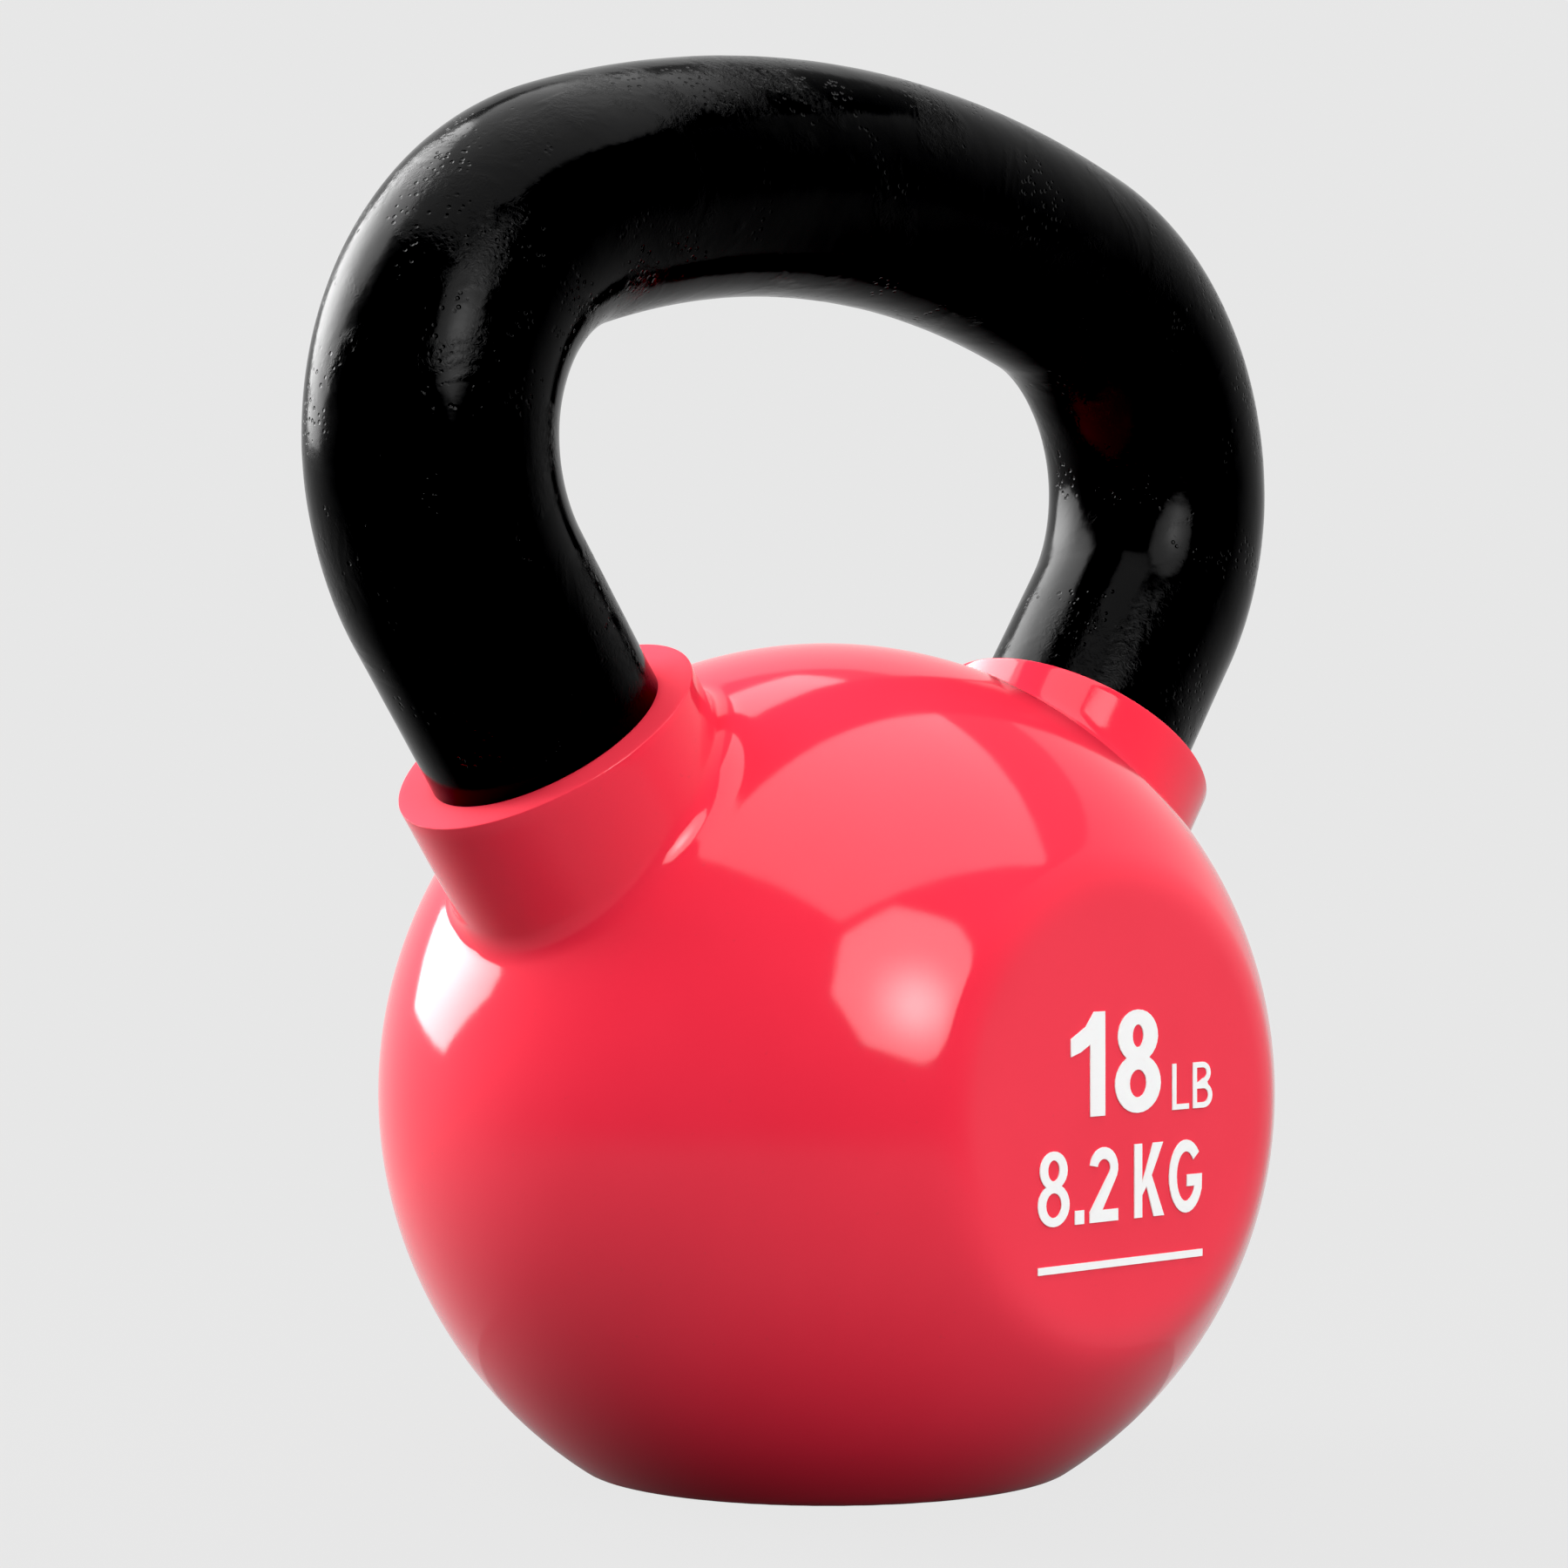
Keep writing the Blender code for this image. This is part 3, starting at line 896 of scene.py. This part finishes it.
@dataclass
class Handle:
    """The enamelled handle: a tube along both horns, two shoulder bends and a crowned top bar.

    Attributes:
        ball: The ball under it.
        horn: The right horn.
        finish: Its enamel.
        radius: Outside of the tube.
        film: Thickness of the enamel.
        straight_top: Height over the ball's centre where a horn starts to bend.
        shoulder: Radius of that bend, along the tube's middle.
        crown_half: Half the angle that the crowned bar spans.
        start_along: The hidden end inside a cuff, along the horn's axis from its foot point.
        spacing: Distance between rings.
        around: Points on a ring.
        swell_size: Width of the casting's broad swells.
        swell_depth: Depth of the lowest of them under the true tube.
        inner_stride: One inner ring is made for this many outer ones.
    """

    ball: Ball
    horn: Horn
    finish: EnamelFinish = field(default_factory=EnamelFinish)
    radius: float = 17.0 * MM
    film: float = 0.4 * MM
    straight_top: float = 69.7 * MM
    shoulder: float = 34.8 * MM
    crown_half: float = math.radians(18.5)
    start_along: float = -24.9 * MM
    spacing: float = 0.9 * MM
    around: int = 112
    swell_size: float = 16.0 * MM
    swell_depth: float = 0.14 * MM
    swell_mean: float = 0.5
    swell_broad: float = 0.4
    swell_fine: float = 0.1
    fine_scale: float = 0.3
    fine_shift: tuple[float, float, float] = (7.0, 3.0, 5.0)
    inner_stride: int = 6

    def _half_line(self) -> tuple[np.ndarray, np.ndarray]:
        """Work out the right half of the centreline, from its foot to the middle of the bar.

        Returns:
            Its points from the ball's centre, and the tangents there.
        """
        horn = self.horn
        start = horn.foot + horn.axis * self.start_along
        bend_start = horn.foot + horn.axis * ((self.straight_top - horn.foot_up) / horn.axis[2])
        hub = bend_start + horn.inward * self.shoulder
        turn = math.pi / 2.0 + horn.lean - self.crown_half
        length = float(np.linalg.norm(bend_start - start))
        count = max(3, round(length / self.spacing))
        places = [start + (bend_start - start) * share
                  for share in np.linspace(0.0, 1.0, count, endpoint=False)]
        heads = [horn.lean] * len(places)
        count = round(turn * self.shoulder / self.spacing)
        for angle in np.linspace(-horn.lean, turn - horn.lean, count, endpoint=False):
            places.append(hub + self.shoulder * np.array([math.cos(angle), 0.0, math.sin(angle)]))
            heads.append(-angle)
        last = math.pi / 2.0 - self.crown_half
        end = hub + self.shoulder * np.array([math.cos(last), 0.0, math.sin(last)])
        crown = end[0] / math.sin(self.crown_half)
        count = round(self.crown_half * crown / self.spacing)
        low = end[2] - crown * math.cos(self.crown_half)
        for angle in np.linspace(self.crown_half, 0.0, count):
            places.append(np.array([crown * math.sin(angle), 0.0, low + crown * math.cos(angle)]))
            heads.append(angle - math.pi / 2.0)
        heads = np.array(heads)
        tangents = np.stack([np.sin(heads), np.zeros_like(heads), np.cos(heads)], axis=-1)
        return np.array(places), tangents

    def _swell(self, point: np.ndarray) -> float:
        """Work out how far the as-cast surface lies under the true tube.

        Args:
            point: A point on the true tube.

        Returns:
            The depth, in metres.
        """
        place = Vector(point)
        broad = noise.noise(place / self.swell_size)
        fine = noise.noise(place / (self.fine_scale * self.swell_size) + Vector(self.fine_shift))
        share = self.swell_mean + self.swell_broad * broad + self.swell_fine * fine
        return self.swell_depth * share

    def rows(self) -> list[np.ndarray]:
        """Work out the tube's rings.

        Returns:
            The rings outside from the right foot to the left, then back inside.
        """
        places, tangents = self._half_line()
        mirror = np.array([-1.0, 1.0, 1.0])
        places = np.concatenate([places, places[-2::-1] * mirror])
        tangents = np.concatenate([tangents, tangents[-2::-1] * np.array([1.0, 1.0, -1.0])])
        side = np.array([0.0, 1.0, 0.0])
        turn = 2.0 * math.pi * np.arange(self.around) / self.around
        outside = []
        inside = []
        for place, tangent in zip(places, tangents):
            outward = np.cross(side, tangent)
            spokes = np.cos(turn)[:, None] * outward + np.sin(turn)[:, None] * side
            middle = self.ball.centre + place
            true = middle + spokes * self.radius
            dip = np.array([self._swell(point) for point in true])
            outside.append(true - spokes * dip[:, None])
            inside.append(middle + spokes * (self.radius - self.film))
        return outside + inside[::-self.inner_stride]

    def build(self) -> bpy.types.Object:
        """Make the enamel in place of its plain solid.

        Returns:
            The enamel.
        """
        piece = grid_piece("enamel_skin", self.rows(), self.finish.material())
        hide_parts("handle_enamel")
        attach(piece, ROOT)
        return piece


@dataclass
class Casting:
    """The iron under the coatings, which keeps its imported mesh."""

    node: str = "iron_casting"
    finish: IronFinish = field(default_factory=IronFinish)

    def dress(self) -> bpy.types.Object:
        """Give the casting its finish.

        Returns:
            The casting.
        """
        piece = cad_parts[self.node]
        piece.data.materials.clear()
        piece.data.materials.append(self.finish.material())
        return piece


@dataclass
class Marks:
    """The printed weight and rule on the front flat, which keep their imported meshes."""

    prefix: str = "ink_"
    finish: InkFinish = field(default_factory=InkFinish)

    def dress(self) -> list[bpy.types.Object]:
        """Give every mark the ink finish.

        Returns:
            The marks.
        """
        ink = self.finish.material()
        names = sorted(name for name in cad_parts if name.startswith(self.prefix))
        marks = [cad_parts[name] for name in names]
        for mark in marks:
            mark.data.materials.clear()
            mark.data.materials.append(ink)
        return marks


def direction(azimuth: float, elevation: float) -> Vector:
    """Return the unit vector from the object towards a place round it.

    Args:
        azimuth: Degrees round +Z, 0 in front of the printed flat and 90 on +X.
        elevation: Degrees above the horizon.

    Returns:
        The direction.
    """
    turn, rise = math.radians(azimuth), math.radians(elevation)
    flat = math.cos(rise)
    return Vector((math.sin(turn) * flat, -math.cos(turn) * flat, math.sin(rise)))


@dataclass(frozen=True)
class Softbox:
    """A diffuser with cut corners that faces the object from a few metres off.

    Attributes:
        name: Name of the panel.
        azimuth: Degrees round +Z, as in direction.
        elevation: Degrees above the horizon.
        width: Size across, in metres.
        height: Size up and down, in metres.
        cut: Share of each half side that a cut corner takes.
        tilt: Degrees that the panel is turned about its own middle.
        glow: Brightness at its edge.
        hot: How much brighter it is in front of its lamp, as a share of glow.
        focus: How tightly the light gathers in front of the lamp.
        droop: How far the lamp hangs below the middle, in metres.
        distance: Distance from the object, in metres.
    """

    name: str
    azimuth: float
    elevation: float
    width: float
    height: float
    cut: float
    tilt: float
    glow: float
    hot: float
    focus: float = 1.0
    droop: float = 0.0
    distance: float = 3.0

    def _rim(self) -> np.ndarray:
        """Work out the panel's shape.

        Returns:
            Its eight corners in its own plane.
        """
        inner = 1.0 - self.cut
        quarter = np.array([(1.0, -inner), (1.0, inner), (inner, 1.0), (-inner, 1.0)])
        rim = np.concatenate([quarter, -quarter]) * 0.5 * np.array([self.width, self.height])
        turn = math.radians(self.tilt)
        rim = rim @ np.array([[math.cos(turn), math.sin(turn)], [-math.sin(turn), math.cos(turn)]])
        return np.column_stack([rim, np.zeros(len(rim))])

    def build(self, target: Vector) -> bpy.types.Object:
        """Hang the softbox so that it faces a target.

        Args:
            target: The point that it faces.

        Returns:
            Its panel, seen by reflections and not by the camera.
        """
        panel = flat_piece(self.name, self._rim(), self._diffuser())
        towards = direction(self.azimuth, self.elevation)
        panel.location = target + towards * self.distance
        panel.rotation_euler = towards.to_track_quat("Z", "Y").to_euler()
        panel.visible_camera = False
        panel.visible_shadow = False
        return panel

    def _diffuser(self) -> bpy.types.Material:
        """Make the panel's glow, hottest in front of its lamp.

        Returns:
            The material.
        """
        sheet = Sheet(bpy.data.materials.new(self.name))
        reach = sheet.distance((0.0, -self.droop, 0.0))
        middle = sheet.step(reach, 0.5 * self.width, 0.0) ** self.focus
        peak = self.glow * (1.0 + self.hot)
        return sheet.finish(sheet.glow(sheet.blend(middle, (self.glow,) * 3, (peak,) * 3)))


@dataclass
class Studio:
    """A pale seamless set with softboxes, and the camera.

    Levels named for the wall and the ground are what reflections and shading see of the
    surroundings. Heights in the air are sines of the angle above the horizon.
    """

    ball: Ball
    black_level: float = 0.005
    paper: float = 0.801
    paper_albedo: float = 0.008
    paper_glow: float = 0.783
    floor_radius: float = 30.0
    shade_radius: float = 0.45
    wall_azimuth: float = 132.0
    wall_glow: float = 0.71
    wall_side: tuple[float, float] = (-0.65, 0.50)
    wall_top: float = 41.0
    wall_top_edge: float = 0.006
    wall_foot: tuple[float, float] = (-0.95, -0.26)
    wall_above: float = 0.25
    ground_glow: float = 0.42
    # the ground fades to dark straight below: a painted shadow of the object
    ground_shadow_under: tuple[float, float] = (-0.94, -0.77)
    ground_high: tuple[float, float] = (-0.07, -0.26)
    shade_core: float = 0.1
    floor_corners: int = 96
    card_reach: tuple[float, float] = (12.0 * MM, 82.0 * MM)
    card_offset: float = 27.0 * MM
    # painted shadow: the card's dim glow under the object stands in for the floor's shade there
    shadow_glow: float = 0.06
    card_drop: float = 0.2 * MM
    card_corners: int = 64
    camera_azimuth: float = -45.41
    camera_elevation: float = 4.01
    camera_distance: float = 586.5 * MM
    aim: Vector = field(default_factory=lambda: Vector((-3.6, 5.0, 98.5)) * MM)
    lens: float = 92.9
    clip: tuple[float, float] = (0.01, 100.0)
    softboxes: tuple[Softbox, ...] = (
        Softbox("key_softbox", -22.0, 29.0, 1.96, 1.96, 0.586, 22.5, 5.1, 2.0, 2.0, 0.28),
        Softbox("top_softbox", 0.0, 90.0, 3.9, 4.5, 0.01, 0.0, 2.45, 0.14),
        Softbox("left_softbox", -164.8, 35.3, 2.55, 3.60, 0.48, -7.0, 9.0, 0.8, 1.0, 0.6),
    )

    def build_camera(self) -> bpy.types.Object:
        """Place the camera and make it the scene's.

        Returns:
            The camera.
        """
        lens = bpy.data.cameras.new("camera")
        lens.lens = self.lens
        lens.clip_start, lens.clip_end = self.clip
        camera = put("camera", lens)
        towards = direction(self.camera_azimuth, self.camera_elevation)
        camera.location = Vector(self.ball.centre) + towards * self.camera_distance
        camera.rotation_euler = (self.aim - camera.location).to_track_quat("-Z", "Y").to_euler()
        bpy.context.scene.camera = camera
        return camera

    def build_floor(self) -> bpy.types.Object:
        """Lay the paper floor, which takes a faint shadow near the object and no other shading.

        Returns:
            The floor.
        """
        sheet = Sheet(bpy.data.materials.new("pale_paper"))
        near = sheet.step(sheet.distance(), self.shade_radius, self.shade_core)
        albedo = {"Color": (*(self.paper_albedo,) * 3, 1.0)}
        matt = sheet.node("ShaderNodeBsdfDiffuse", {}, albedo).outputs[0]
        lit = sheet.glow((self.paper_glow,) * 3)
        both = sheet.node("ShaderNodeAddShader", {}, {0: matt, 1: lit}).outputs[0]
        paper = sheet.finish(sheet.mix(near, sheet.glow((self.paper,) * 3), both))
        rim = round_rim(self.floor_radius, self.floor_corners)
        floor = flat_piece("paper_floor", rim, paper)
        floor.visible_diffuse = False
        floor.visible_glossy = False
        floor.visible_shadow = False
        return floor

    def build_shadow_card(self) -> bpy.types.Object:
        """Lay a glowing card that the underside sees, with a painted shadow in it: dark beneath the
        object, lighter further out.

        Returns:
            The card.
        """
        sheet = Sheet(bpy.data.materials.new("shadowed_ground_card"))
        # painted shadow: the card's glow rises from dark under the object to the ground's level
        # further out
        level = sheet.step(sheet.distance(), *self.card_reach)
        tone = sheet.blend(level, (self.shadow_glow,) * 3, (self.ground_glow,) * 3)
        rim = round_rim(self.card_reach[1], self.card_corners)
        card = flat_piece("shadowed_ground_card", rim, sheet.finish(sheet.glow(tone)))
        # the painted shadow is set forward, towards the camera
        card.location = direction(self.camera_azimuth, 0.0) * self.card_offset
        card.location.z = -self.card_drop
        card.visible_camera = False
        return card

    def build_air(self) -> bpy.types.World:
        """Surround the set with the paper's tone, and light it by a far wall and a dim ground,
        darkened straight below by a painted shadow.

        Returns:
            The world.
        """
        world = bpy.data.worlds.new("studio_air")
        bpy.context.scene.world = world
        sheet = Sheet(world, "Generated")
        facing = sheet.along(sheet.place, direction(self.wall_azimuth, 0.0))
        behind = sheet.step(facing, *self.wall_side)
        rise = sheet.height()
        top = math.sin(math.radians(self.wall_top))
        edge = (top + self.wall_top_edge, top - self.wall_top_edge)
        lit = sheet.step(rise, *edge, self.wall_above, 1.0) * sheet.step(rise, *self.wall_foot)
        wall = lit * self.wall_glow
        # painted shadow: the ground's glow fades out straight below the object
        ground = sheet.step(rise, *self.ground_shadow_under) * sheet.step(rise, *self.ground_high)
        ground = ground * self.ground_glow
        level = ground + behind * (wall - ground)
        around = sheet.blend(level, (0.0, 0.0, 0.0), (1.0, 1.0, 1.0))
        unseen = sheet.glow(around, "ShaderNodeBackground")
        seen = sheet.glow((self.paper,) * 3, "ShaderNodeBackground")
        ray = sheet.node("ShaderNodeLightPath", {}, {}).outputs["Is Camera Ray"]
        return sheet.finish(sheet.mix(ray, unseen, seen))

    def build(self) -> None:
        """Make the whole set."""
        view = bpy.context.scene.view_settings
        view.view_transform = "Standard"
        view.use_curve_mapping = True
        view.curve_mapping.black_level = (self.black_level,) * 3
        view.curve_mapping.update()
        self.build_camera()
        self.build_floor()
        self.build_shadow_card()
        self.build_air()
        for softbox in self.softboxes:
            softbox.build(Vector(self.ball.centre))


def main() -> None:
    """Build the kettlebell's pieces and its set in order, and log each piece."""
    logging.basicConfig(level=logging.INFO, format="%(name)s: %(message)s")
    ball = Ball()
    horn = Horn()
    Studio(ball).build()
    pieces = [Casting().dress()]
    pieces.append(Jacket(ball, horn).build())
    pieces.append(Handle(ball, horn).build())
    pieces += Marks().dress()
    for piece in pieces:
        log.info("%s has %d faces", piece.name, len(piece.data.polygons))


if __name__ == "__main__":
    main()
